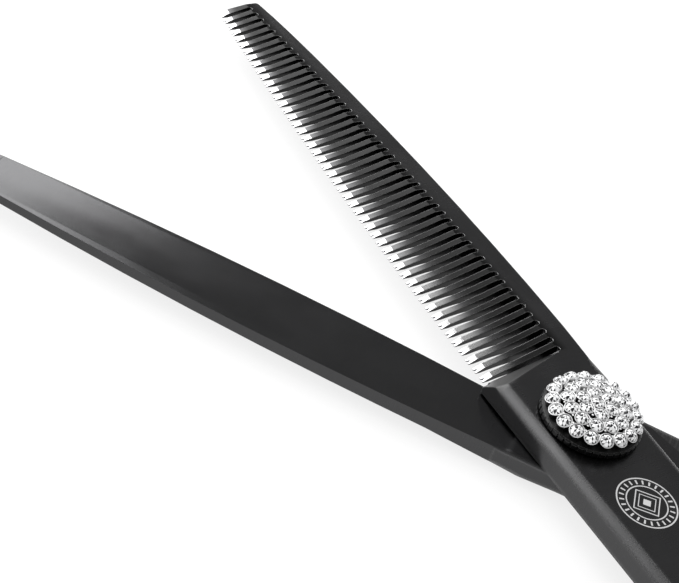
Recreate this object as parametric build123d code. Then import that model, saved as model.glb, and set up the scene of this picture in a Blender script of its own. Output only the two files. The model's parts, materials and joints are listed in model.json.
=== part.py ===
from build123d import *
import os
from math import asin, cos, degrees, radians, sin, sqrt

# Thinning shears: a toothed half over a plain half, crossing on one adjustable pivot.
#
# Frame: millimetres, +Z up. The pivot axis is the Z axis and z = 0 is the flat back of
# the pivot bolt's head, on which the shears lie. +X runs from the pivot along the plain
# blade to its tip when the shears are closed. Each half is drawn in its closed place;
# the toothed half and all that it carries is then turned open about Z.

# ---- driving dimensions -------------------------------------------------------------
OPEN_ANGLE = 36.0          # the toothed half stands open by this much
HALF_T = 2.9               # thickness of each half at the pivot
HEAD_PROUD = 0.5           # bolt head below the back of the plain half
RIDE_GAP = 0.08            # the two inner faces are held this far apart

Z_PLAIN_BACK = HEAD_PROUD
Z_PLAIN_FACE = Z_PLAIN_BACK + HALF_T
Z_TOOTHED_FACE = Z_PLAIN_FACE + RIDE_GAP
Z_TOP = Z_TOOTHED_FACE + HALF_T

# Shank, from the blade heel back to the neck of the handle
HEEL_X = 8.7
SHANK_END_X = -18.0
SHANK_EDGE = 6.2           # cutting side of the toothed shank, from the pivot axis
PLAIN_SHANK_EDGE = 7.1     # the same on the plain half, which stands out past it
SHANK_BACK = 6.1           # spine side of the shank, from the pivot axis
SHANK_CHAMFER = 0.75       # along the toothed half's outer face
BACK_CHAMFER = 0.95        # along the plain half's outer face
BACK_HEEL_CHAMFER = 0.3    # where that runs out into the blade

# Comb of the toothed half
SLOTS = 50
FIRST_SLOT_X = 9.4         # the slot beside the heel
PITCH = 1.318
SLOT_W = 0.66
TOOTH_LINE = ((9.2, 5.20), (42.0, 3.90), (75.2, 0.72))
SLOT_END_LINE = ((9.4, -3.12), (42.0, -3.95), (74.0, -2.80))
COMB_SPINE = ((7.0, -6.05), (32.0, -6.90), (74.6, -4.87))
COMB_TIP_X = 75.4
COMB_TIP_T = 1.2           # thickness of the spine at the tip
TAPER_X = 12.0             # the top face starts to fall here
NOTCH_W = 0.34
NOTCH_D = 0.36
EDGE_BEVEL_W = 1.0         # short polished bevel on each tooth end
EDGE_BEVEL_T = 0.64
EDGE_T = 0.08
COMB_HOLLOW_R = 80.0       # radius of the wheel that grinds the outer face
INNER_HOLLOW_R = 24.0      # and of the wheel that relieves the inner face
INNER_HOLLOW_D = (0.45, 0.10)  # depth of that relief near the heel and near the tip

# Plain blade
PLAIN_EDGE = ((9.5, -1.15), (34.0, -1.95), (66.0, -1.2))
PLAIN_SPINE = ((8.5, 6.15), (30.0, 6.35), (63.0, 4.65))
PLAIN_TIP = (75.2, 0.35)
PLAIN_HOLLOW_R = 60.0
PLAIN_HOLLOW_D = (0.135, 0.058)  # depth of the hollow under the shank and near the tip
PLAIN_SPINE_T = (1.6, 0.8)   # height of the spine's wall near the heel and near the tip

# Finger and thumb rings
RING_HOLE_R = 11.6
RING_BAND = 3.4
RING_R = RING_HOLE_R + RING_BAND
RING_Z = (Z_PLAIN_BACK, Z_PLAIN_BACK + 5.8)
FINGER_RING = (-78.0, RING_R + 1.6)
THUMB_RING = (-72.0, -RING_R - 1.6)
INSERT_R = 10.4
LIP_R = 13.1
LIP_T = 0.5

# Pivot
BOLT_HEAD_R = 4.5
BOLT_HEAD_T = 0.95
KEY_R = 2.6
KEY_FLAT = 2.1
SHAFT_R = 2.0
THREAD_R = 1.75
THREAD_FLAT = 1.35
BOLT_END_Z = 7.75
FIT = 0.03                 # radial clearance of turning and sliding fits
BUSH_R = 2.8
POCKET_R = 4.4             # pocket for the spring stack in the toothed half
POCKET_Z = 5.40
WASHER_R = 5.2
WASHER_T = 0.48

# Tension knob
KNOB_R = 5.2
KNOB_Z = Z_TOP + 0.13
KNOB_RIM_Z = 7.18
KNOB_HUB_R = 3.0
STONE_R = 0.61
CUP_R = 0.725
CUP_H = 0.62
RINGS = ((6, 1.52, 0), (12, 2.93, 15), (18, 4.37, 0))     # count, radius and first angle of each ring
OUTER_STONE_Z = Z_TOP + 1.79
DOME_RISE = 0.75

os.makedirs("parts", exist_ok=True)


def save(name, shape):
    """Write one sub-part; its label is the node's name."""
    shape.label = name
    export_step(shape, f"parts/{name}.step")


def opened(shape):
    """Turn a piece of the toothed side from its closed place to its open place."""
    return Rot(0, 0, -OPEN_ANGLE) * shape


def circle_through(p, q, r):
    """Centre and radius of the circle through three points."""
    d = 2 * (p[0] * (q[1] - r[1]) + q[0] * (r[1] - p[1]) + r[0] * (p[1] - q[1]))
    pp, qq, rr = (a[0] ** 2 + a[1] ** 2 for a in (p, q, r))
    cx = (pp * (q[1] - r[1]) + qq * (r[1] - p[1]) + rr * (p[1] - q[1])) / d
    cy = (pp * (r[0] - q[0]) + qq * (p[0] - r[0]) + rr * (q[0] - p[0])) / d
    return cx, cy, sqrt((p[0] - cx) ** 2 + (p[1] - cy) ** 2)


def arc_y(line, x, side):
    """Height of a three-point arc at x; side +1 for an arc that bulges to +Y."""
    cx, cy, r = circle_through(*line)
    return cy + side * sqrt(r * r - (x - cx) ** 2)


def tube(r_out, r_in, z0, z1):
    """Upright ring between two levels; no hole where r_in is 0."""
    body = Pos(0, 0, z0) * extrude(Circle(r_out), z1 - z0)
    if r_in:
        body -= Pos(0, 0, z0 - 1) * extrude(Circle(r_in), z1 - z0 + 2)
    return body


def double_d(r, flat, z0, z1):
    """Round bar with two flats, parallel to the X axis."""
    section = Circle(r) & Rectangle(2 * r, 2 * flat)
    return Pos(0, 0, z0) * extrude(section, z1 - z0)


def below(points):
    """Solid to cut with: a profile in X and Z, carried right across the blade."""
    face = make_face(Plane.XZ * Polyline(*points, close=True))
    return extrude(face, 30, both=True)


# ---- shank, neck and ring, shared by both halves -----------------------------------

def section(x, y0, y1, z0, z1, c_low, c_high):
    """Four-sided bar section at x, with its low and its high corners cut off."""
    pts = [
        (y0 + c_low, z0), (y1 - c_low, z0), (y1, z0 + c_low), (y1, z1 - c_high),
        (y1 - c_high, z1), (y0 + c_high, z1), (y0, z1 - c_high), (y0, z0 + c_low),
    ]
    plane = Plane(origin=(x, 0, 0), x_dir=(0, 1, 0), z_dir=(1, 0, 0))
    return make_face(plane * Polyline(*pts, close=True))


def ring_body(centre):
    """Ring band: flat where the rubber lip lies, well rounded outside."""
    z0, z1 = RING_Z
    profile = Pos(RING_HOLE_R + RING_BAND / 2, (z0 + z1) / 2) * Rectangle(RING_BAND, z1 - z0)
    corners = profile.vertices().sort_by(Axis.X)[-2:]
    profile = fillet(corners, 1.6)
    return Pos(*centre) * revolve(Plane.XZ * profile, Axis.Z)


def handle(z_face, centre, edge, c_high, c_heel, flip):
    """Shank, neck and ring of one half. It is drawn with its handle on the +Y side
    and its chamfered face up; flip is -1 for the plain half, which is turned over."""
    heel = section(HEEL_X, -SHANK_BACK, SHANK_EDGE, 0, HALF_T, 0.05, c_heel)
    middle = section(0, -SHANK_BACK + 0.1, edge, 0, HALF_T, 0.05, c_high)
    end = section(SHANK_END_X, -5.4, edge, 0, HALF_T, 0.05, c_high)
    shank = loft([heel, middle, end], ruled=True)
    mid = (RING_Z[0] + RING_Z[1]) / 2
    down = abs(z_face - mid)
    low = down - (RING_Z[1] - RING_Z[0]) / 2
    neck = loft([
        end,
        section(SHANK_END_X - 2.5, -5.25, edge, 0, HALF_T, 0.06, c_high),
        section(-31, -2.8, 7.2, 0, HALF_T, 0.2, 0.9),
        section(-42, 0.9, 8.5, -0.2, HALF_T, 0.8, 1.2),
        section(-55, 4.3, 10.3, low + 0.5, HALF_T, 1.6, 1.6),
        section(centre[0] + 11.8, 6.4, 11.8, low + 0.3, HALF_T - 0.2, 1.6, 1.6),
    ])
    # ahead of this the two necks cross as the shears close, so nothing may pass the inner face
    neck -= Pos((SHANK_END_X - 42) / 2, 0, -2) * Box(42 + SHANK_END_X + 2, 30, 4)
    bar = shank + neck
    if flip < 0:
        bar = Rot(180, 0, 0) * bar
    bar = Pos(0, 0, z_face) * bar
    hole = Pos(centre[0], centre[1], RING_Z[0] - 1) * extrude(Circle(RING_HOLE_R + 0.4), 9)
    return bar - hole + ring_body(centre)


# ---- toothed half --------------------------------------------------------------------

def comb_blank():
    """Outline of the comb, extruded to full thickness, its top falling to the tip."""
    edge = ThreePointArc(*TOOTH_LINE)
    spine = ThreePointArc(*reversed(COMB_SPINE))
    corner = (COMB_TIP_X, COMB_SPINE[2][1] + 0.8)
    outline = make_face([
        edge,
        Line(TOOTH_LINE[2], corner),
        ThreePointArc(corner, (COMB_TIP_X - 0.24, corner[1] - 0.57), COMB_SPINE[2]),
        spine,
        Polyline(COMB_SPINE[0], (4.0, -SHANK_BACK), (4.0, 5.0), (HEEL_X, 5.2), TOOTH_LINE[0]),
    ])
    blank = Pos(0, 0, Z_TOOTHED_FACE) * extrude(outline, HALF_T)
    tip_z = Z_TOOTHED_FACE + COMB_TIP_T
    blank -= below([(TAPER_X, Z_TOP), (77, tip_z), (77, Z_TOP + 2), (TAPER_X, Z_TOP + 2)])
    return blank


def hollow_axis_point(p, q, radius):
    """Centre, above the blade, of the circle of that radius through two points (y, z)."""
    dy, dz = q[0] - p[0], q[1] - p[1]
    half = sqrt(dy * dy + dz * dz) / 2
    rise = sqrt(radius ** 2 - half ** 2)
    return ((p[0] + q[0]) / 2 - dz / (2 * half) * rise, (p[1] + q[1]) / 2 + dy / (2 * half) * rise)


def skew_cylinder(radius, a, b, overrun):
    """Cylinder whose axis runs through points a and b, carried past both."""
    a, b = Vector(*a), Vector(*b)
    run = (b - a).normalized()
    start = a - run * overrun
    plane = Plane(origin=start, z_dir=run)
    return extrude(plane * Circle(radius), (b - a).length + 2 * overrun)


def comb_hollow():
    """What the wheel takes off the outer face, ending in a steep run-out at the heel."""
    x0, x1 = FIRST_SLOT_X, TOOTH_LINE[2][0]
    z_in = Z_TOOTHED_FACE
    base = hollow_axis_point((-3.0, z_in + HALF_T), (4.2, z_in + EDGE_BEVEL_T + 0.03), COMB_HOLLOW_R)
    tip = hollow_axis_point((-2.7, z_in + COMB_TIP_T + 0.05), (-0.3, z_in + EDGE_BEVEL_T - 0.05), COMB_HOLLOW_R)
    wheel = skew_cylinder(COMB_HOLLOW_R, (x0, *base), (x1, *tip), 30)
    top_a = Vector(6.7, 5.33, Z_TOP)
    top_b = Vector(8.95, -3.0, Z_TOP)
    low = Vector(9.1, 5.2, z_in + EDGE_BEVEL_T)
    normal = (top_b - top_a).cross(low - top_a).normalized()
    if normal.X < 0:
        normal = normal * -1
    run_out = Plane(origin=top_a, z_dir=normal)
    return split(wheel, bisect_by=run_out, keep=Keep.TOP)


def tooth_bevel():
    """Cone-shaped cut that bevels every tooth end along the curved tooth line."""
    cx, cy, r = circle_through(*TOOTH_LINE)
    z_in = Z_TOOTHED_FACE
    slope = (EDGE_BEVEL_T - EDGE_T) / EDGE_BEVEL_W
    profile = Polyline(
        (r - EDGE_BEVEL_W, z_in + EDGE_BEVEL_T), (r - EDGE_BEVEL_W, Z_TOP + 1),
        (r + 1, Z_TOP + 1), (r + 1, z_in + EDGE_T - slope), close=True)
    first = asin((TOOTH_LINE[0][0] + 0.02 - cx) / r)
    last = asin((78 - cx) / r)
    plane = Plane(origin=(cx, cy, 0), x_dir=(sin(last), cos(last), 0), z_dir=(cos(last), -sin(last), 0))
    return revolve(make_face(plane * profile), Axis((cx, cy, 0), (0, 0, 1)), degrees(last - first))


def slots_and_notches():
    """The slots between the teeth, and the V-notch in the end of each tooth."""
    cuts = []
    for i in range(SLOTS):
        x = FIRST_SLOT_X + i * PITCH
        y_end = arc_y(SLOT_END_LINE, x, -1)
        y_out = arc_y(TOOTH_LINE, x, 1) + 1.0
        slot = Pos(x, (y_end + y_out) / 2) * Rectangle(SLOT_W, y_out - y_end)
        cuts.append(slot + Pos(x, y_end) * Circle(SLOT_W / 2))
        if i < SLOTS - 1:
            xn = x + PITCH / 2
            yn = arc_y(TOOTH_LINE, xn, 1)
            w = NOTCH_W / 2
            cuts.append(make_face(Polyline((xn - w, yn + 0.05), (xn + w, yn + 0.05), (xn, yn - NOTCH_D), close=True)))
    return [Pos(0, 0, Z_TOOTHED_FACE - 1) * extrude(c, HALF_T + 2) for c in cuts]


def toothed_half():
    blade = comb_blank()
    spine = blade.edges().filter_by(lambda e: e.center().Y < -4.5 and e.length > 20)
    spine = spine.filter_by(lambda e: e.center().Z > Z_TOOTHED_FACE + 1)
    blade = chamfer(spine, 0.35, 0.7)
    body = handle(Z_TOOTHED_FACE, FINGER_RING, SHANK_EDGE, SHANK_CHAMFER, SHANK_CHAMFER, 1) + blade
    body -= comb_hollow()
    body -= tooth_bevel()
    # hollow of the inner face, clear of the tooth ends and of the ride
    base_z, tip_z = (Z_TOOTHED_FACE + d - INNER_HOLLOW_R for d in INNER_HOLLOW_D)
    body -= skew_cylinder(INNER_HOLLOW_R, (9.0, 0.1, base_z), (74, -2.1, tip_z), 0)
    body -= slots_and_notches()
    # bore, washer recess and spring pocket
    body -= tube(BUSH_R, 0, Z_TOOTHED_FACE - 1, POCKET_Z + 0.1)
    body -= tube(WASHER_R, 0, Z_TOOTHED_FACE - 1, Z_TOOTHED_FACE + WASHER_T - 0.06)
    body -= tube(POCKET_R, 0, POCKET_Z, Z_TOP + 1)
    # blind hole for the finger rest's stud
    body -= rest_place() * (extrude(Circle(REST_STUD_R), -REST_STUD_IN) + extrude(Circle(REST_SEAT_R), 2))
    return body


# ---- plain half ----------------------------------------------------------------------

def plain_blank():
    """Outline of the plain blade, with a curved tip."""
    return make_face([
        Line((7.0, -1.6), PLAIN_EDGE[0]),
        ThreePointArc(*PLAIN_EDGE),
        ThreePointArc(PLAIN_EDGE[2], (70.9, -0.55), PLAIN_TIP),
        ThreePointArc(PLAIN_TIP, (70.6, 3.25), PLAIN_SPINE[2]),
        ThreePointArc(*reversed(PLAIN_SPINE)),
        Polyline(PLAIN_SPINE[0], (7.0, SHANK_BACK), (7.0, -1.6)),
    ])


def plain_half():
    z_in = Z_PLAIN_FACE
    body = handle(Z_PLAIN_FACE, THUMB_RING, PLAIN_SHANK_EDGE, BACK_CHAMFER, BACK_HEEL_CHAMFER, -1)
    blade = Pos(0, 0, Z_PLAIN_BACK) * extrude(plain_blank(), HALF_T)
    # the heel of the shank ends short of the blade on the cutting side
    heel = Pos(9.5, -4.6, Z_PLAIN_BACK + HALF_T / 2) * Rot(0, 0, 24) * Box(7, 12, HALF_T + 1)
    # the back rises from the shank to the thin tip
    t_heel, t_tip = PLAIN_SPINE_T
    rise_line = [(-6, Z_PLAIN_BACK), (14, z_in - t_heel), (78, z_in - t_tip), (78, -2), (-6, -2)]
    body = body - heel + blade - below(rise_line)
    # the back bevel, from the spine down to the cutting edge
    bevel_a = Vector(10, 3.2, z_in - t_heel)
    bevel_b = Vector(70, 3.0, z_in - t_tip)
    bevel_c = Vector(36, -1.75, z_in - 0.12)
    normal = (bevel_b - bevel_a).cross(bevel_c - bevel_a).normalized()
    if normal.Z > 0:
        normal = normal * -1
    slab = Pos(42, 0, Z_PLAIN_BACK) * Box(62, 30, 5.4)
    body -= split(slab, bisect_by=Plane(origin=bevel_a, z_dir=normal), keep=Keep.TOP)
    # the hollow of the inner face, between the edge and the ride line
    base_z, tip_z = (z_in - d + PLAIN_HOLLOW_R for d in PLAIN_HOLLOW_D)
    body -= skew_cylinder(PLAIN_HOLLOW_R, (5.6, 2.45, base_z), (66, 1.45, tip_z), 0)
    # keyed bore and head recess
    body -= double_d(KEY_R + 0.02, KEY_FLAT + 0.02, Z_PLAIN_BACK - 1, z_in + 1)
    body -= tube(BOLT_HEAD_R + 0.05, 0, Z_PLAIN_BACK - 1, BOLT_HEAD_T)
    body -= bumper_place() * (extrude(Circle(BUMPER_STUD_R), -BUMPER_STUD_IN) + extrude(Circle(BUMPER_R + 0.1), 2))
    return body


# ---- pivot ---------------------------------------------------------------------------

def pivot_bolt():
    head = chamfer(tube(BOLT_HEAD_R, 0, 0, BOLT_HEAD_T).edges().group_by(Axis.Z)[0], 0.3)
    body = head + double_d(KEY_R, KEY_FLAT, BOLT_HEAD_T, Z_PLAIN_FACE - 0.05)
    body += tube(SHAFT_R, 0, Z_PLAIN_FACE - 0.05, POCKET_Z + 0.15)
    body += double_d(THREAD_R, THREAD_FLAT, POCKET_Z + 0.15, BOLT_END_Z)
    return body


def wave_spring():
    """Three-wave washer: a thin ring whose height rises and falls round the bolt."""
    waves, amp, thick, base = 3, 0.11, 0.14, POCKET_Z + 0.35
    rows = []
    steps = 12 * waves
    for i in range(steps):
        a = 360 / steps * i
        lift = amp * sin(radians(a * waves))
        rows.append(Rot(0, 0, a) * Pos(3.3, 0, base + thick / 2 + lift) * Box(1.4, 0.72, thick))
    ring = rows[0]
    for r in rows[1:]:
        ring += r
    return ring


def click_plate():
    """Keyed thrust washer with radial clicks on its upper face."""
    plate = tube(4.2, 0, 6.12, 6.62) - double_d(THREAD_R + FIT + 0.02, THREAD_FLAT + 0.04, 6, 7)
    for i in range(24):
        plate -= Rot(0, 0, 15 * i) * Pos(3.5, 0, 6.62) * Rot(45, 0, 0) * Box(1.0, 0.16, 0.16)
    return plate


# ---- tension knob --------------------------------------------------------------------

def knob_base():
    body = tube(KNOB_R, 0, KNOB_Z, KNOB_RIM_Z)
    body = chamfer(body.edges().filter_by(GeomType.CIRCLE), 0.12)
    body += tube(KNOB_HUB_R, 0, KNOB_RIM_Z - 0.1, BOLT_END_Z + 0.15)
    body -= tube(4.3, 0, KNOB_Z - 1, 6.64)
    body -= tube(THREAD_R + FIT, 0, KNOB_Z - 1, BOLT_END_Z + 0.1)
    body -= tube(3.8, 3.2, 6.6, 7.0)
    grooves = 44
    for i in range(grooves):
        body -= Rot(0, 0, 360 / grooves * i) * Pos(KNOB_R + 0.06, 0, 7) * Rot(0, 0, 45) * Box(0.28, 0.28, 3)
    return body


def click_spring():
    """Open wire ring that drops into the clicks."""
    path = CenterArc((0, 0, 6.84), 3.5, 20, 320)
    return sweep(Plane(origin=path @ 0, z_dir=path % 0) * Circle(0.15), path)


OUTER_R = RINGS[-1][1]
CAP_R = (OUTER_R ** 2 + DOME_RISE ** 2) / (2 * DOME_RISE)      # sphere of the stones' girdles
APEX_Z = OUTER_STONE_Z + DOME_RISE                             # girdle of the centre stone
SEAT_R = CAP_R - CUP_H - 0.02


def dome_plate():
    """Domed plate that carries the cups; it covers the knob's hub."""
    centre_z = APEX_Z - CAP_R
    cap = Pos(0, 0, centre_z) * Sphere(SEAT_R) & tube(KNOB_R - 0.15, 0, KNOB_RIM_Z, 12)
    return cap - tube(KNOB_HUB_R, 0, KNOB_RIM_Z - 1, BOLT_END_Z + 0.15)


def places(count, radius, first):
    """Places on the dome, each with its own Z axis square to the dome."""
    tilt = degrees(asin(radius / CAP_R))
    centre_z = APEX_Z - CAP_R
    return [Pos(0, 0, centre_z) * Rot(0, 0, first + 360 / count * i) * Rot(0, tilt, 0) * Pos(0, 0, CAP_R)
            for i in range(count)]


def cup():
    body = tube(CUP_R, 0, -CUP_H, 0)
    seat = Pos(0, 0, -0.29) * Cone(0.07, STONE_R + 0.03, 0.58)
    return body - seat


def stone():
    """Round stone with eight sides to its crown and to its pavilion."""
    table, crown_h, pavilion_h = 0.36, 0.20, 0.50
    girdle = RegularPolygon(STONE_R, 8)
    crown = loft([girdle, Pos(0, 0, crown_h) * RegularPolygon(table, 8)], ruled=True)
    pavilion = loft([Pos(0, 0, -pavilion_h) * RegularPolygon(0.06, 8), girdle], ruled=True)
    return crown + pavilion


def group(piece, where):
    return Compound(children=[p * piece for p in where])


# ---- bumper --------------------------------------------------------------------------

BUMPER_X = -75.0
BUMPER_R = 2.6
BUMPER_STUD_R = 1.0
BUMPER_STUD_IN = 2.6
BUMPER_Z = (RING_Z[0] + RING_Z[1]) / 2
BUMPER_SEAT_Y = THUMB_RING[1] + sqrt(RING_R ** 2 - (BUMPER_X - THUMB_RING[0]) ** 2)
BUMPER_L = -2 * BUMPER_SEAT_Y - 0.35      # reaches the other ring as the shears close


def bumper_place():
    """On the thumb ring's outer wall, facing the finger ring."""
    return Plane(origin=(BUMPER_X, BUMPER_SEAT_Y, BUMPER_Z), z_dir=(0, 1, 0))


def bumper_stud():
    pin = extrude(Circle(BUMPER_STUD_R), BUMPER_L - 1.0) + extrude(Circle(BUMPER_STUD_R), -BUMPER_STUD_IN)
    flange = extrude(Circle(1.7), 0.4)
    return bumper_place() * (pin + flange)


def bumper():
    cap = extrude(Circle(BUMPER_R), BUMPER_L)
    cap = fillet(cap.edges().group_by(Axis.Z)[-1], 0.7)
    cap -= extrude(Circle(BUMPER_STUD_R), BUMPER_L - 1.0)
    cap -= extrude(Circle(1.7), 0.4)
    return bumper_place() * cap


# ---- finger rest ---------------------------------------------------------------------

REST_STUD_R = 1.25
REST_STUD_IN = 2.4
REST_STUD_OUT = 3.2
REST_WASHER_T = 0.6
REST_SEAT_R = 2.6
REST_SEAT_DEEP = 0.24      # flat seat cut into the round of the ring
REST_ANGLE = 163.0         # direction in which the rest leaves the finger ring


def rest_place():
    """On the outside of the finger ring, pointing away from its centre."""
    a = radians(REST_ANGLE)
    x = FINGER_RING[0] + (RING_R - REST_SEAT_DEEP) * cos(a)
    y = FINGER_RING[1] + (RING_R - REST_SEAT_DEEP) * sin(a)
    return Plane(origin=(x, y, BUMPER_Z), x_dir=(0, 0, 1), z_dir=(cos(a), sin(a), 0))


def rest_stud():
    stud = extrude(Circle(REST_STUD_R), REST_STUD_OUT) + extrude(Circle(REST_STUD_R), -REST_STUD_IN + 0.1)
    return rest_place() * stud


def rest_washer():
    ring = extrude(Circle(2.5), REST_WASHER_T) - extrude(Circle(REST_STUD_R), REST_WASHER_T)
    return rest_place() * ring


def finger_rest():
    """Curved horn that thins towards a round end."""
    sweep_angle, bend_r = 62.0, 21.0
    faces = []
    stations = ((0.0, 2.3), (0.25, 2.05), (0.6, 1.8), (1.0, 1.6))
    for t, r in stations:
        a = radians(sweep_angle * t)
        at = (0, bend_r * (cos(a) - 1), REST_WASHER_T + bend_r * sin(a))
        faces.append(Plane(origin=at, x_dir=(1, 0, 0), z_dir=(0, -sin(a), cos(a))) * Circle(r))
    horn = loft(faces)
    end = radians(sweep_angle)
    horn += Pos(0, bend_r * (cos(end) - 1), REST_WASHER_T + bend_r * sin(end)) * Sphere(stations[-1][1])
    horn -= extrude(Circle(REST_STUD_R), REST_STUD_OUT)
    return rest_place() * horn


def ring_insert(centre):
    """Soft lining of a ring, with a lip on both faces."""
    z0, z1 = RING_Z
    profile = make_face(Polyline(
        (INSERT_R, z0 - LIP_T), (LIP_R, z0 - LIP_T), (LIP_R, z0), (RING_HOLE_R, z0),
        (RING_HOLE_R, z1), (LIP_R, z1), (LIP_R, z1 + LIP_T), (INSERT_R, z1 + LIP_T), close=True))
    profile = fillet(profile.vertices().group_by(Axis.X)[0], 0.35)
    return Pos(*centre) * revolve(Plane.XZ * profile, Axis.Z)


# ---- write the parts -----------------------------------------------------------------

save("plain_half", plain_half())
save("pivot_bolt", pivot_bolt())
save("thumb_insert", ring_insert(THUMB_RING))
save("bumper_stud", bumper_stud())
save("bumper", bumper())

save("toothed_half", opened(toothed_half()))
save("pivot_bush", tube(BUSH_R, SHAFT_R + FIT, Z_TOOTHED_FACE + WASHER_T - 0.06, POCKET_Z))
save("ride_washer", tube(WASHER_R, SHAFT_R + FIT, Z_PLAIN_FACE + 0.02, Z_TOOTHED_FACE + WASHER_T - 0.06))
save("spring_seat", tube(4.35, 2.3, POCKET_Z, POCKET_Z + 0.2))
save("wave_spring", wave_spring())
save("finger_insert", opened(ring_insert(FINGER_RING)))
save("rest_stud", opened(rest_stud()))
save("rest_washer", opened(rest_washer()))
save("finger_rest", opened(finger_rest()))

save("click_plate", click_plate())
save("click_spring", click_spring())
save("knob_base", knob_base())
save("dome_plate", dome_plate())
names = ("inner", "middle", "outer")
for name, ring in zip(names, RINGS):
    where = places(*ring)
    save(f"stones_{name}", group(stone(), where))
    if name == "inner":
        where = where + places(1, 0, 0)
    save(f"cups_{name}", group(cup(), where))
save("stone_centre", group(stone(), places(1, 0, 0)))
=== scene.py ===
import json
import random
from math import asin, cos, pi, radians, sin, sqrt

import bmesh
import bpy
from mathutils import Matrix, Vector


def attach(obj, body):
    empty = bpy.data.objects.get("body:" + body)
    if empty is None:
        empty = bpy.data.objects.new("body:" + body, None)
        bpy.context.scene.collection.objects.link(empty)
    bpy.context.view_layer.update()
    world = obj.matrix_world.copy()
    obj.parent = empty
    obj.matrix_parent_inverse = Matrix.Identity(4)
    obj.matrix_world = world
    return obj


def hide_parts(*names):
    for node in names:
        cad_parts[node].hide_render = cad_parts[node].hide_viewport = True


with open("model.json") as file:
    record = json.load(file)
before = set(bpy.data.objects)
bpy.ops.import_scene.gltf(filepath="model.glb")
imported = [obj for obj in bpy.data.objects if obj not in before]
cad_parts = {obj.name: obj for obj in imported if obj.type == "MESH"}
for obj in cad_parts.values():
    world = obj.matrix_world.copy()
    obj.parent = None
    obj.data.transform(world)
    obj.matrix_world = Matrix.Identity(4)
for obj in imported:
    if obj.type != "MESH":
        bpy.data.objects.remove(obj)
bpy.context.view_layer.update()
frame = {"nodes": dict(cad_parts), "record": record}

MM = 0.001
OPEN_TURN = radians(36)          # turns the toothed half's rest place back to its closed place

# levels and lines of the CAD model, in millimetres, with the shears closed
TOP_Z = 6.38
PLAIN_FACE_Z = 3.4
TOOTHED_FACE_Z = 3.48
TOOTH_LINE = ((9.2, 5.20), (42.0, 3.90), (75.2, 0.72))
BEVEL_W = 1.0                    # length of the bevel on a tooth's end
ORNAMENT_AT = (-10.6, 1.2)

# pairs below say where a look starts to show and where it is full, in millimetres
COMB_X = (8.9, 9.3)
SLOT_WALL_Y = (-4.6, -4.2)
TEETH_Y = (-4.6, -3.2)
ROOT_DEPTH = (1.4, 5.6)          # in from the tooth ends, near the pivot
# where the painted sheen on the teeth starts and where it is full
SHEEN_DEPTH = (4.0, 1.2)
BEVEL_Z = (TOOTHED_FACE_Z + 0.95, TOOTHED_FACE_Z + 0.85)
RUN_OUT_X = ((6.3, 6.6), (9.9, 9.5))
SPINE_GLINT_Y = (-4.4, -5.0)
SPINE_GLINT_Z = (TOP_Z - 0.6, TOP_Z - 0.4)
GROUND_LINE_X = (6.0, 4.0)
GROUND_LINE_Y = (-5.86, -5.92)
GROUND_LINE_Z = (TOP_Z - 0.3, TOP_Z - 0.2)
ETCHED_Z = (TOP_Z - 0.05, TOP_Z - 0.02)
SHANK_X = (8.0, 6.0)
PLAIN_GLINT_Z = (PLAIN_FACE_Z - 0.15, PLAIN_FACE_Z - 0.35)
STRIP_X = (-17.0, -10.0)
STRIP_EDGE = (-9.5, -9.6)        # of y + STRIP_SLOPE * x
STRIP_SLOPE = 0.46
INNER_FACE_Z = (PLAIN_FACE_Z - 0.7, PLAIN_FACE_Z - 0.5)

# the same for how far a surface faces up
FLAT_UP = (0.9, 0.95)
INNER_UP = (0.8, 0.95)
BEVEL_UP = (0.3, 0.4)
WALL_UP = (0.5, 0.2)
CHAMFER_UP = ((0.3, 0.5), (0.93, 0.85))
RUN_OUT_UP = ((0.5, 0.6), (0.90, 0.85))
STRIP_UP = (0.5, 0.7)

# radius that the shading gives the edges, in millimetres
EDGE_R, SHANK_EDGE_R = 0.08, 0.75

# greys of the steel and its coating, and greys for painted shade, painted highlights and painted
# reflections, from 0 to 1
COAT_DARK, COAT_LIGHT = 0.072, 0.096
COAT_TINT = 0.002
WALL_SHADE_GREY = 0.035
CHAMFER_SHADE_GREY = 0.045
SLOT_SHADE_GREY = 0.012
TOOTH_ROOT_SHADE_GREY = 0.020
TOOTH_END_SHEEN_GREY = 0.36
BEVEL_GREY = 0.82
RUN_OUT_REFLECTION_GREY = 0.12
ETCHED_GREY = 0.42
TOOTHED_EDGE_GLINT_GREY = 0.50
PLAIN_EDGE_GLINT_GREY = 0.40
STRIP_GREY = 0.19

# crystals on the knob, in millimetres
# for each ring: how many stones, its radius, first angle and lean outwards in degrees, crown height
STONE_RINGS = {
    "centre": (1, 0.0, 0, 0, 0.19),
    "inner": (6, 1.52, 0, 1, 0.23),
    "middle": (12, 2.93, 15, 3, 0.29),
    "outer": (18, 4.37, 0, 7, 0.35),
}
CAP_R = 13.107                   # radius of the sphere that the girdles lie on
APEX_Z = 8.92                    # top of that sphere
STONE_R = 0.635
CUP_R = 0.77
CUP_H = 0.60
BEAD_R = 0.12
BEAD_OFFSET = 0.43               # from a ring's radius, inwards and outwards
BEAD_SINK = 0.02                 # below the sphere of the girdles

# painted glints and painted dark reflections: how light each kind of facet is painted, before a
# small random change
TABLE_LIT, STAR_LIT, KITE_LIT = 0.95, 0.6, 0.95
UPPER_LIT, UPPER_HALF_LIT, GIRDLE_LIT, PAVILION_LIT = 0.85, 0.7, 0.7, 0.6
GLINT_SPREAD = (-0.26, 0.10)

# brightness of the studio, where white is 1
HORIZON = 1.0
CEILING = 0.26
AMBIENT = 1.1
SWEEP = (0.10, 0.42)             # heights between which the horizon's white fades

# camera, in millimetres
CAMERA_AT = (5.1, 121.1, 107.0)
CAMERA_TARGET = (28.3, -4.9, 3.4)
CAMERA_ROLL = 18.94
CAMERA_LENS = 84.83


# ---- node helpers --------------------------------------------------------------------

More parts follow.
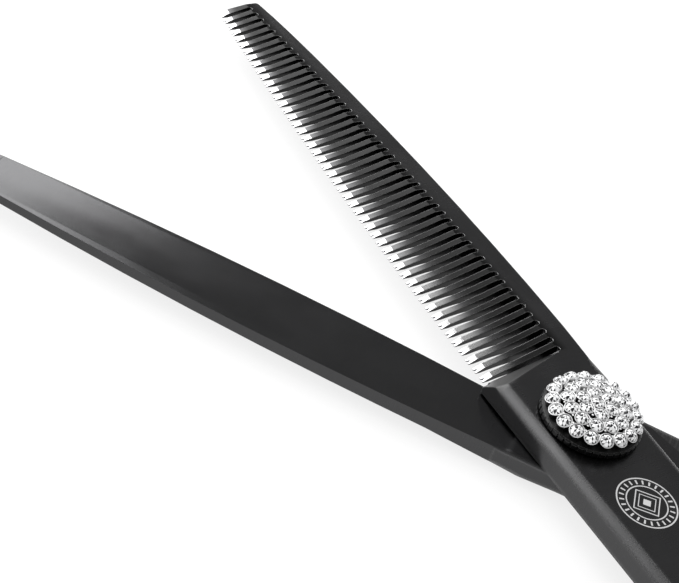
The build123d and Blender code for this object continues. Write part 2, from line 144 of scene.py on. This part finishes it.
class Tree:
    """A material's nodes, with short calls for the ones that are used over and over."""

    def __init__(self, name):
        self.material = bpy.data.materials.new(name)
        self.material.use_nodes = True
        self.tree = self.material.node_tree
        self.tree.nodes.clear()
        self.out = self.add("ShaderNodeOutputMaterial")
        self.bsdf = self.add("ShaderNodeBsdfPrincipled")
        self.link(self.bsdf.outputs[0], self.out.inputs["Surface"])

    def add(self, kind, **props):
        node = self.tree.nodes.new(kind)
        for key, value in props.items():
            setattr(node, key, value)
        return node

    def link(self, source, target):
        self.tree.links.new(source, target)

    def feed(self, socket, value):
        if isinstance(value, bpy.types.NodeSocket):
            self.link(value, socket)
        elif value is not None:
            socket.default_value = value

    def set(self, **values):
        for key, value in values.items():
            self.feed(self.bsdf.inputs[key.replace("_", " ")], value)

    def math(self, operation, a, b=None, c=None):
        node = self.add("ShaderNodeMath", operation=operation)
        for socket, value in zip(node.inputs, (a, b, c)):
            self.feed(socket, value)
        return node.outputs[0]

    def times(self, first, *others):
        """Product of all the values, which are mostly masks."""
        for other in others:
            first = self.math("MULTIPLY", first, other)
        return first

    def highest(self, first, *others):
        for other in others:
            first = self.math("MAXIMUM", first, other)
        return first

    def radius(self, x, y):
        squares = (self.math("MULTIPLY", v, v) for v in (x, y))
        return self.math("SQRT", self.math("ADD", *squares))

    def join(self, x, y=None, z=None):
        node = self.add("ShaderNodeCombineXYZ")
        for socket, value in zip(node.inputs, (x, y, z)):
            self.feed(socket, value)
        return node.outputs[0]

    def ramp(self, value, low, high, to_low=0.0, to_high=1.0):
        node = self.add("ShaderNodeMapRange", interpolation_type="SMOOTHSTEP")
        for socket, v in zip(node.inputs, (value, low, high, to_low, to_high)):
            self.feed(socket, v)
        return node.outputs[0]

    def mix(self, factor, a, b):
        node = self.add("ShaderNodeMix", data_type="RGBA")
        self.feed(node.inputs[0], factor)
        self.feed(node.inputs[6], a)
        self.feed(node.inputs[7], b)
        return node.outputs[2]

    def coords(self, turn=0.0):
        """Place in millimetres in the CAD frame, turned about the pivot axis."""
        place = self.add("ShaderNodeTexCoord")
        node = self.add("ShaderNodeMapping")
        node.inputs["Rotation"].default_value = (0, 0, turn)
        node.inputs["Scale"].default_value = (1 / MM,) * 3
        self.link(place.outputs["Object"], node.inputs["Vector"])
        return node.outputs[0]

    def split(self, vector):
        node = self.add("ShaderNodeSeparateXYZ")
        self.link(vector, node.inputs[0])
        return node.outputs[0], node.outputs[1], node.outputs[2]

    def noise(self, vector, stretch, detail=4.0, roughness=0.55):
        """Noise whose cells are this many to the millimetre along each axis."""
        scale = self.add("ShaderNodeMapping")
        scale.inputs["Scale"].default_value = stretch
        self.link(vector, scale.inputs["Vector"])
        node = self.add("ShaderNodeTexNoise")
        node.inputs["Scale"].default_value = 1.0
        node.inputs["Detail"].default_value = detail
        node.inputs["Roughness"].default_value = roughness
        self.link(scale.outputs[0], node.inputs["Vector"])
        return node.outputs[0]

    def up(self):
        """How far the surface faces up, from -1 to 1."""
        node = self.add("ShaderNodeNewGeometry")
        return self.split(node.outputs["True Normal"])[2]

    def rounded(self, radius):
        """Normals rounded over the edges, and a mask that is 1 on the edges."""
        bevel = self.add("ShaderNodeBevel", samples=6)
        self.feed(bevel.inputs["Radius"], radius)
        geometry = self.add("ShaderNodeNewGeometry")
        dot = self.add("ShaderNodeVectorMath", operation="DOT_PRODUCT")
        self.link(bevel.outputs[0], dot.inputs[0])
        self.link(geometry.outputs["True Normal"], dot.inputs[1])
        return bevel.outputs[0], self.ramp(dot.outputs["Value"], 0.995, 0.90)

    def bump(self, height, distance_mm, strength=1.0, normal=None):
        node = self.add("ShaderNodeBump")
        node.inputs["Strength"].default_value = strength
        node.inputs["Distance"].default_value = distance_mm * MM
        self.link(height, node.inputs["Height"])
        if normal is not None:
            self.link(normal, node.inputs["Normal"])
        self.link(node.outputs[0], self.bsdf.inputs["Normal"])


def grey(v, tint=0.0):
    return (v, v, v + tint, 1)


# ---- the two halves ------------------------------------------------------------------

def circle_through(p, q, r):
    """Centre and radius of the circle through three points."""
    d = 2 * (p[0] * (q[1] - r[1]) + q[0] * (r[1] - p[1]) + r[0] * (p[1] - q[1]))
    pp, qq, rr = (a[0] ** 2 + a[1] ** 2 for a in (p, q, r))
    cx = (pp * (q[1] - r[1]) + qq * (r[1] - p[1]) + rr * (p[1] - q[1])) / d
    cy = (pp * (r[0] - q[0]) + qq * (p[0] - r[0]) + rr * (q[0] - p[0])) / d
    return cx, cy, sqrt((p[0] - cx) ** 2 + (p[1] - cy) ** 2)


def ornament(t, x, y, z):
    """Two thin rings with short rays between them and a diamond inside, etched on the shank."""
    x = t.math("SUBTRACT", x, ORNAMENT_AT[0])
    y = t.math("SUBTRACT", y, ORNAMENT_AT[1])
    r = t.radius(x, y)
    ray_count = 24.0
    angle = t.math("ARCTAN2", y, x)
    rays = t.ramp(t.math("COSINE", t.math("MULTIPLY", angle, ray_count)), 0.55, 0.75)
    rays = t.times(rays, t.ramp(r, 2.25, 2.30), t.ramp(r, 2.80, 2.75))
    diamond = t.math("ADD", t.math("ABSOLUTE", x), t.math("ABSOLUTE", y))
    soft = 0.03
    lines = []
    for value, middle, half_width in ((r, 3.0, 0.06), (r, 2.05, 0.05),
                                      (diamond, 1.7, 0.07), (diamond, 1.15, 0.05)):
        gap = t.math("ABSOLUTE", t.math("SUBTRACT", value, middle))
        lines.append(t.ramp(gap, half_width + soft, half_width))
    lines.append(t.ramp(diamond, 0.55, 0.50))
    return t.times(t.highest(rays, *lines), t.ramp(z, *ETCHED_Z))


def from_tooth_ends(t, x, y):
    """How far a place lies inside the line of the tooth ends."""
    cx, cy, r = circle_through(*TOOTH_LINE)
    away = t.add("ShaderNodeVectorMath", operation="DISTANCE")
    t.link(t.join(x, y), away.inputs[0])
    away.inputs[1].default_value = (cx, cy, 0)
    return t.math("SUBTRACT", r, away.outputs["Value"])


def toothed_details(t, place, up, wall, edge, colour, rough):
    """Comb and shank of the toothed half: its colour, its roughness and what is etched."""
    x, y, z = place
    inward = from_tooth_ends(t, x, y)
    on_comb = t.ramp(x, *COMB_X)

    # walls of the slots, darkened nearly to black: painted shade inside the slots
    slot_wall = t.times(wall, on_comb, t.ramp(y, *SLOT_WALL_Y))
    colour = t.mix(t.math("MULTIPLY", slot_wall, 0.7), colour, grey(SLOT_SHADE_GREY))

    # upper faces of the teeth: painted shade darkens the roots, and a painted sheen lightens them
    # towards the ends, fading along the comb
    teeth = t.times(on_comb, t.ramp(y, *TEETH_Y), t.ramp(up, *FLAT_UP))
    shorter_teeth = t.ramp(x, 9.0, 75.0, 1.0, 2.4)
    depth = t.math("MULTIPLY", inward, shorter_teeth)
    colour = t.mix(t.times(teeth, t.ramp(depth, *ROOT_DEPTH)), colour, grey(TOOTH_ROOT_SHADE_GREY))
    fading = t.ramp(x, 12.0, 40.0, 0.80, 0.08)
    tooth_sheen = t.times(t.ramp(depth, *SHEEN_DEPTH), teeth, fading)
    colour = t.mix(tooth_sheen, colour, grey(TOOTH_END_SHEEN_GREY))

    # bevelled ends of the teeth
    at_end = t.ramp(inward, BEVEL_W + 0.05, BEVEL_W)
    bevel = t.times(at_end, on_comb, t.ramp(up, *BEVEL_UP), t.ramp(z, *BEVEL_Z))
    colour = t.mix(bevel, colour, grey(BEVEL_GREY, 0.01))

    # slope between the comb and the shank's top, where the comb's hollow runs out: lightened as a
    # painted reflection of the floor, stronger towards the tooth ends
    run_out = t.times(*(t.ramp(x, *limits) for limits in RUN_OUT_X),
                      *(t.ramp(up, *limits) for limits in RUN_OUT_UP),
                      t.ramp(y, -3.0, 5.0, 0.2, 1.0))
    colour = t.mix(run_out, colour, grey(RUN_OUT_REFLECTION_GREY))

    # painted highlight on the edges at the spine and at the rims of the slots, where rounded edges
    # catch light
    spine_line = t.times(t.ramp(y, *SPINE_GLINT_Y), t.ramp(z, *SPINE_GLINT_Z))
    glint_weight = t.highest(spine_line, t.ramp(x, 8.0, 9.0, 0.1, 0.8))
    colour = t.mix(t.times(edge, glint_weight), colour, grey(TOOTHED_EDGE_GLINT_GREY))

    # ornament, and a bright ground line along the shank's spine
    ground = t.times(t.ramp(y, *GROUND_LINE_Y), t.ramp(z, *GROUND_LINE_Z),
                     t.ramp(x, *GROUND_LINE_X))
    etched = t.highest(ornament(t, x, y, z), t.math("MULTIPLY", ground, 0.9))
    colour = t.mix(etched, colour, grey(ETCHED_GREY))
    rough = t.math("ADD", rough, t.math("MULTIPLY", t.highest(etched, run_out), 0.2))
    return colour, t.times(rough, t.ramp(bevel, 0.0, 1.0, 1.0, 0.8)), etched


def plain_details(t, coords, place, up, edge, colour, rough):
    """Plain blade and its shank: its colour and its roughness."""
    x, y, z = place
    # edges of the walls below the inner face are lightened: painted highlight
    edge_glint = t.times(edge, t.ramp(z, *PLAIN_GLINT_Z, 0.0, 0.5))
    colour = t.mix(edge_glint, colour, grey(PLAIN_EDGE_GLINT_GREY))

    # ground strip that widens towards the handle, with grinding marks across it
    strip = t.times(t.ramp(t.math("MULTIPLY_ADD", x, STRIP_SLOPE, y), *STRIP_EDGE),
                    t.ramp(x, *STRIP_X), t.ramp(up, *STRIP_UP))
    marks = t.noise(coords, (5.0, 0.3, 1.0), 4.0, 0.7)
    strip = t.times(strip, t.ramp(marks, 0.35, 0.7, 0.2, 1.0))
    colour = t.mix(strip, colour, grey(STRIP_GREY))

    # the inner face is glossier
    inside = t.times(t.ramp(up, *INNER_UP), t.ramp(z, *INNER_FACE_Z))
    return colour, t.times(rough, t.ramp(inside, 0.0, 1.0, 1.0, 0.72))


def blade_coating(name, toothed):
    """Satin black coating over cross-ground steel, with painted highlights on its edges and painted
    shade on its walls and chamfer.
    """
    t = Tree(name)
    coords = t.coords(OPEN_TURN if toothed else 0.0)
    place = t.split(coords)
    up = t.up()
    grind = t.noise(coords, (9.0, 0.35, 0.9), 6.0, 0.65)
    cloud = t.noise(coords, (0.12, 0.2, 0.2), 3.0)
    on_shank = t.ramp(place[0], *SHANK_X)
    soft_normal, edge = t.rounded(t.ramp(on_shank, 0.0, 1.0, EDGE_R * MM, SHANK_EDGE_R * MM))

    colour = t.mix(grind, grey(COAT_DARK, COAT_TINT), grey(COAT_LIGHT, COAT_TINT))
    # faces that stand sideways are darkened: painted shade
    wall = t.ramp(t.math("ABSOLUTE", up), *WALL_UP)
    colour = t.mix(t.math("MULTIPLY", wall, 0.45), colour, grey(WALL_SHADE_GREY))
    # the shank's chamfer is darkened: painted shade that softens the flat chamfer's look
    chamfer = t.times(*(t.ramp(up, *limits) for limits in CHAMFER_UP), on_shank)
    colour = t.mix(t.math("MULTIPLY", chamfer, 0.5), colour, grey(CHAMFER_SHADE_GREY))
    rough = t.math("ADD", t.ramp(cloud, 0.3, 0.7, 0.20, 0.27), t.math("MULTIPLY", grind, 0.05))

    if toothed:
        colour, rough, etched = toothed_details(t, place, up, wall, edge, colour, rough)
        metallic = t.math("SUBTRACT", 1.0, etched)
    else:
        colour, rough = plain_details(t, coords, place, up, edge, colour, rough)
        metallic = 1.0
    t.set(Base_Color=colour, Metallic=metallic, Roughness=rough)
    t.bump(grind, 0.004, 0.22, soft_normal)
    return t.material


# ---- other materials -----------------------------------------------------------------

def knob_coating():
    t = Tree("knob_coating")
    fine = t.noise(t.coords(), (3.0, 3.0, 6.0), 5.0)
    soft_normal, edge = t.rounded(0.06 * MM)
    colour = t.mix(fine, grey(0.018), grey(0.036))
    # edges are lightened: painted highlight
    colour = t.mix(t.math("MULTIPLY", edge, 0.4), colour, grey(0.22))
    t.set(Base_Color=colour, Metallic=1.0, Roughness=t.ramp(fine, 0.3, 0.7, 0.24, 0.36))
    t.bump(fine, 0.004, 0.3, soft_normal)
    return t.material


def turned_metal(name, dark, light, tint, low, high):
    """Turned metal: fine circles round the pivot axis, and roughness from low to high."""
    t = Tree(name)
    x, y, z = t.split(t.coords())
    rings_per_mm = 14.0
    circles = t.noise(t.join(t.radius(x, y), z), (rings_per_mm, rings_per_mm, 1.0), 5.0)
    colour = t.mix(circles, *(tuple(v * c for c in tint) + (1,) for v in (dark, light)))
    soft_normal, _ = t.rounded(0.05 * MM)
    t.set(Base_Color=colour, Metallic=1.0, Roughness=t.ramp(circles, 0.3, 0.7, low, high))
    t.bump(circles, 0.004, 0.4, soft_normal)
    return t.material


def soft_plastic(name, colour_a, colour_b, low, high, cells, bump_mm):
    """Rubber and plastic: fine mould grain and a faint bloom."""
    t = Tree(name)
    coords = t.coords()
    grain = t.noise(coords, (cells,) * 3, 4.0, 0.6)
    bloom = t.noise(coords, (0.35,) * 3, 3.0)
    soft_normal, _ = t.rounded(0.12 * MM)
    colour = t.mix(bloom, colour_a, colour_b)
    t.set(Base_Color=colour, Roughness=t.ramp(grain, 0.3, 0.7, low, high))
    t.bump(grain, bump_mm, 0.5, soft_normal)
    return t.material


def cup_silver():
    """Plated cups, bright on the rim; the walls between them are darkened as painted shade."""
    t = Tree("cup_silver")
    fine = t.noise(t.coords(), (4.0,) * 3, 4.0)
    rim = t.ramp(t.up(), 0.0, 0.25)
    # walls that face sideways or down get painted shade
    colour = t.mix(rim, grey(0.12), t.mix(fine, grey(0.80, 0.01), grey(0.95)))
    t.set(Base_Color=colour, Metallic=t.ramp(rim, 0.0, 1.0, 1.0, 0.6),
          Roughness=t.ramp(fine, 0.3, 0.7, 0.14, 0.24))
    t.bump(fine, 0.003, 0.3)
    return t.material


def crystal():
    """Clear cut crystal: each facet is painted light as a painted glint, or dark as a painted dark
    reflection.
    """
    t = Tree("crystal")
    facet_glint = t.add("ShaderNodeAttribute", attribute_name="facet_glint")
    fire = t.noise(t.coords(), (2.2,) * 3, 2.0)
    light = t.mix(fire, (0.90, 0.91, 0.92, 1), (1.0, 1.0, 1.0, 1))
    colour = t.mix(facet_glint.outputs["Fac"], (0.010, 0.010, 0.012, 1), light)
    t.set(Base_Color=colour, Roughness=0.06, Coat_Weight=0.6, Coat_Roughness=0.02, IOR=1.6)
    return t.material


# ---- crystals and their settings -----------------------------------------------------

def seats(count, radius, first, lean=0.0):
    """Places on the knob's dome, each with its own Z axis square to the dome or leaning out."""
    centre = Matrix.Translation((0, 0, APEX_Z - CAP_R))
    outward = Matrix.Rotation(asin(radius / CAP_R), 4, "Y") @ Matrix.Translation((0, 0, CAP_R))
    outward = outward @ Matrix.Rotation(radians(lean), 4, "Y")
    turns = [radians(first) + 2 * pi * i / count for i in range(count)]
    return [centre @ Matrix.Rotation(turn, 4, "Z") @ outward for turn in turns]


def circle(count, r, z, first=0.0):
    angles = [first + 2 * pi * i / count for i in range(count)]
    return [Vector((r * cos(a), r * sin(a), z)) for a in angles]


def brilliant(bm, place, crown, turn, facet_glint, rng):
    """Round brilliant cut: table, stars, kites, upper halves, girdle and pavilion."""
    def corner(point):
        return bm.verts.new(place @ point * MM)

    # each facet gets a painted brightness, a painted glint or a painted dark reflection
    def facet(verts, value):
        face = bm.faces.new(verts)
        face[facet_glint] = min(1.0, max(0.0, value + rng.uniform(*GLINT_SPREAD)))

    table = [corner(p) for p in circle(8, 0.44 * STONE_R, crown, turn)]
    middle = [corner(p) for p in circle(8, 0.72 * STONE_R, 0.7 * crown, turn + pi / 8)]
    girdle = [corner(p) for p in circle(16, STONE_R, 0.0, turn)]
    lower = [corner(p) for p in circle(16, STONE_R, -0.06 * STONE_R, turn)]
    culet = corner(Vector((0, 0, -0.72 * STONE_R)))
    heart = corner(Vector((0, 0, crown)))
    for i in range(8):
        j = (i + 1) % 8
        edge = [girdle[(2 * i + k) % 16] for k in range(3)]
        odd = i % 2
        facet([heart, table[i], table[j]], TABLE_LIT if i in (0, 1, 3, 6) else 0.0)
        facet([table[i], middle[i], table[j]], 0.0 if odd else STAR_LIT)
        facet([table[i], middle[i - 1], edge[0], middle[i]], 0.0 if i % 4 == 1 else KITE_LIT)
        facet([middle[i], edge[0], edge[1]], UPPER_LIT if odd else 0.0)
        facet([middle[i], edge[1], edge[2]], 0.0 if odd else UPPER_HALF_LIT)
    for i in range(16):
        j = (i + 1) % 16
        facet([girdle[i], lower[i], lower[j], girdle[j]], GIRDLE_LIT)
        facet([lower[i], culet, lower[j]], PAVILION_LIT)


def setting(bm, place, turn):
    """Turned cup with a rolled rim over the girdle."""
    sides = 24
    # distance in from the cup's outside, and height over the girdle
    outside = ((0.06, -CUP_H), (0.0, -CUP_H + 0.1), (0.0, -0.03))
    rim = ((0.012, 0.025), (0.04, 0.05), (0.075, 0.045), (0.095, 0.01), (0.10, -0.12))
    turned = [(CUP_R - inset, z) for inset, z in outside + rim]
    profile = [(0.30, -CUP_H)] + turned + [(0.36, -0.42)]
    rows = [[bm.verts.new(place @ p * MM) for p in circle(sides, r, z, turn)] for r, z in profile]
    for a, b in zip(rows, rows[1:] + rows[:1]):
        for i in range(sides):
            j = (i + 1) % sides
            bm.faces.new([a[i], a[j], b[j], b[i]])


def beads(bm, count, radius, first, inward_only):
    """Small beads of metal that hold the stones, in the gaps between neighbours."""
    for offset in (-BEAD_OFFSET,) if inward_only else (-BEAD_OFFSET, BEAD_OFFSET):
        for place in seats(count, radius + offset, first + 180 / count):
            spot = Matrix.Scale(MM, 4) @ place @ Matrix.Translation((0, 0, -BEAD_SINK))
            bmesh.ops.create_icosphere(bm, subdivisions=2, radius=BEAD_R, matrix=spot)


def finish_mesh(bm, name, material, smooth):
    bmesh.ops.recalc_face_normals(bm, faces=bm.faces)
    mesh = bpy.data.meshes.new(name)
    bm.to_mesh(mesh)
    bm.free()
    mesh.materials.append(material)
    for face in mesh.polygons:
        face.use_smooth = smooth
    piece = bpy.data.objects.new(name, mesh)
    bpy.context.scene.collection.objects.link(piece)
    return piece


def crystals(looks):
    """Cut stones and turned cups in place of the CAD's plain ones, riding on the knob."""
    rng = random.Random(7)
    places = {name: seats(*ring[:4]) for name, ring in STONE_RINGS.items()}
    for name in ("inner", "middle", "outer", "centre"):
        bm = bmesh.new()
        facet_glint = bm.faces.layers.float.new("facet_glint")
        crown = STONE_RINGS[name][-1]
        for place in places[name]:
            brilliant(bm, place, crown, rng.uniform(0, pi / 4), facet_glint, rng)
        piece = finish_mesh(bm, f"cut_stones_{name}", looks["crystal"], False)
        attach(piece, "knob")
        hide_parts("stone_centre" if name == "centre" else f"stones_{name}")
    places["inner"] = places["inner"] + places["centre"]
    for name in ("inner", "middle", "outer"):
        bm = bmesh.new()
        for place in places[name]:
            setting(bm, place, rng.uniform(0, pi / 2))
        beads(bm, *STONE_RINGS[name][:3], inward_only=name == "outer")
        piece = finish_mesh(bm, f"settings_{name}", looks["cup_silver"], True)
        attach(piece, "knob")
        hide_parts(f"cups_{name}")


# ---- looks of the CAD nodes ----------------------------------------------------------

def materials():
    cream = ((0.80, 0.79, 0.74, 1), (0.86, 0.85, 0.81, 1))
    return {
        "plain_coating": blade_coating("plain_coating", False),
        "toothed_coating": blade_coating("toothed_coating", True),
        "knob_coating": knob_coating(),
        "bolt_steel": turned_metal("bolt_steel", 0.22, 0.34, (1, 1, 1.02), 0.22, 0.34),
        "washer_steel": turned_metal("washer_steel", 0.50, 0.68, (1, 1, 1.01), 0.18, 0.30),
        "bush_bronze": turned_metal("bush_bronze", 0.42, 0.62, (1, 0.70, 0.38), 0.30, 0.45),
        "washer_plastic": soft_plastic("washer_plastic", *cream, 0.42, 0.55, 4.0, 0.01),
        "ring_rubber": soft_plastic("ring_rubber", grey(0.018), grey(0.034),
                                    0.50, 0.68, 5.0, 0.02),
        "bumper_rubber": soft_plastic("bumper_rubber", grey(0.014), grey(0.028),
                                      0.45, 0.62, 6.0, 0.015),
        "cup_silver": cup_silver(),
        "crystal": crystal(),
    }


def dress(looks):
    """Give each CAD node the material of its slot."""
    by_slot = {p["node"]: p["material_slot"] for p in frame["record"]["subparts"]}
    for name, node in frame["nodes"].items():
        slot = by_slot[name]
        if slot == "blade_coating":
            slot = "plain_coating" if name == "plain_half" else "toothed_coating"
        node.data.materials.clear()
        node.data.materials.append(looks[slot])


# ---- stage ---------------------------------------------------------------------------

def floor():
    """White floor that glows a little, so that the shadows on it stay faint."""
    bm = bmesh.new()
    bmesh.ops.create_grid(bm, x_segments=2, y_segments=2, size=3.0)
    t = Tree("floor_white")
    t.set(Base_Color=grey(0.20), Roughness=0.65,
          Emission_Color=grey(1.0), Emission_Strength=0.78)
    piece = finish_mesh(bm, "floor", t.material, False)
    clear_of_rings = 0.05        # millimetres, so that the floor shares no plane with the rings
    piece.location = (0, 0, -clear_of_rings * MM)


def softbox(name, azimuth, elevation, width, height, radiance):
    """Rectangular light aimed at the pivot, at a direction given in degrees."""
    distance = 0.8
    a, e = radians(azimuth), radians(elevation)
    place = Vector((cos(a) * cos(e), sin(a) * cos(e), sin(e))) * distance
    data = bpy.data.lights.new(name, "AREA")
    data.shape = "RECTANGLE"
    data.size, data.size_y = width, height
    data.energy = radiance * pi * width * height
    light = bpy.data.objects.new(name, data)
    light.location = place
    light.rotation_euler = (-place).to_track_quat("-Z", "Y").to_euler()
    bpy.context.scene.collection.objects.link(light)


def surroundings():
    """White sweep near the horizon, dim above; matt surfaces and the camera see plain white."""
    world = bpy.data.worlds.new("studio")
    world.use_nodes = True
    nodes, links = world.node_tree.nodes, world.node_tree.links
    background = nodes["Background"]
    place = nodes.new("ShaderNodeTexCoord")
    split = nodes.new("ShaderNodeSeparateXYZ")
    links.new(place.outputs["Generated"], split.inputs[0])
    height = nodes.new("ShaderNodeMapRange")
    height.interpolation_type = "SMOOTHSTEP"
    links.new(split.outputs[2], height.inputs[0])
    for i, value in enumerate((*SWEEP, HORIZON, CEILING), start=1):
        height.inputs[i].default_value = value
    ray = nodes.new("ShaderNodeLightPath")
    mix = nodes.new("ShaderNodeMix")
    mix.inputs[2].default_value = AMBIENT
    links.new(ray.outputs["Is Glossy Ray"], mix.inputs[0])
    links.new(height.outputs[0], mix.inputs[3])
    links.new(mix.outputs[0], background.inputs[1])
    background.inputs[0].default_value = (1, 1, 1, 1)
    bpy.context.scene.world = world


def camera():
    place = Vector(CAMERA_AT) * MM
    target = Vector(CAMERA_TARGET) * MM
    data = bpy.data.cameras.new("camera")
    data.sensor_width = 36
    data.lens = CAMERA_LENS
    data.clip_start = 0.005
    cam = bpy.data.objects.new("camera", data)
    bpy.context.scene.collection.objects.link(cam)
    look = (target - place).to_track_quat("-Z", "Y").to_matrix()
    look = look @ Matrix.Rotation(radians(CAMERA_ROLL), 3, "Z")
    cam.matrix_world = Matrix.Translation(place) @ look.to_4x4()
    bpy.context.scene.camera = cam


camera()
surroundings()
softbox("left_box", -38, 37, 0.56, 0.44, 4.0)
softbox("right_box", 10, 34, 0.46, 0.26, 4.2)
softbox("top_box", -12, 60, 0.40, 0.30, 1.8)
floor()
looks = materials()
dress(looks)
crystals(looks)
bpy.context.scene.view_settings.view_transform = "Standard"
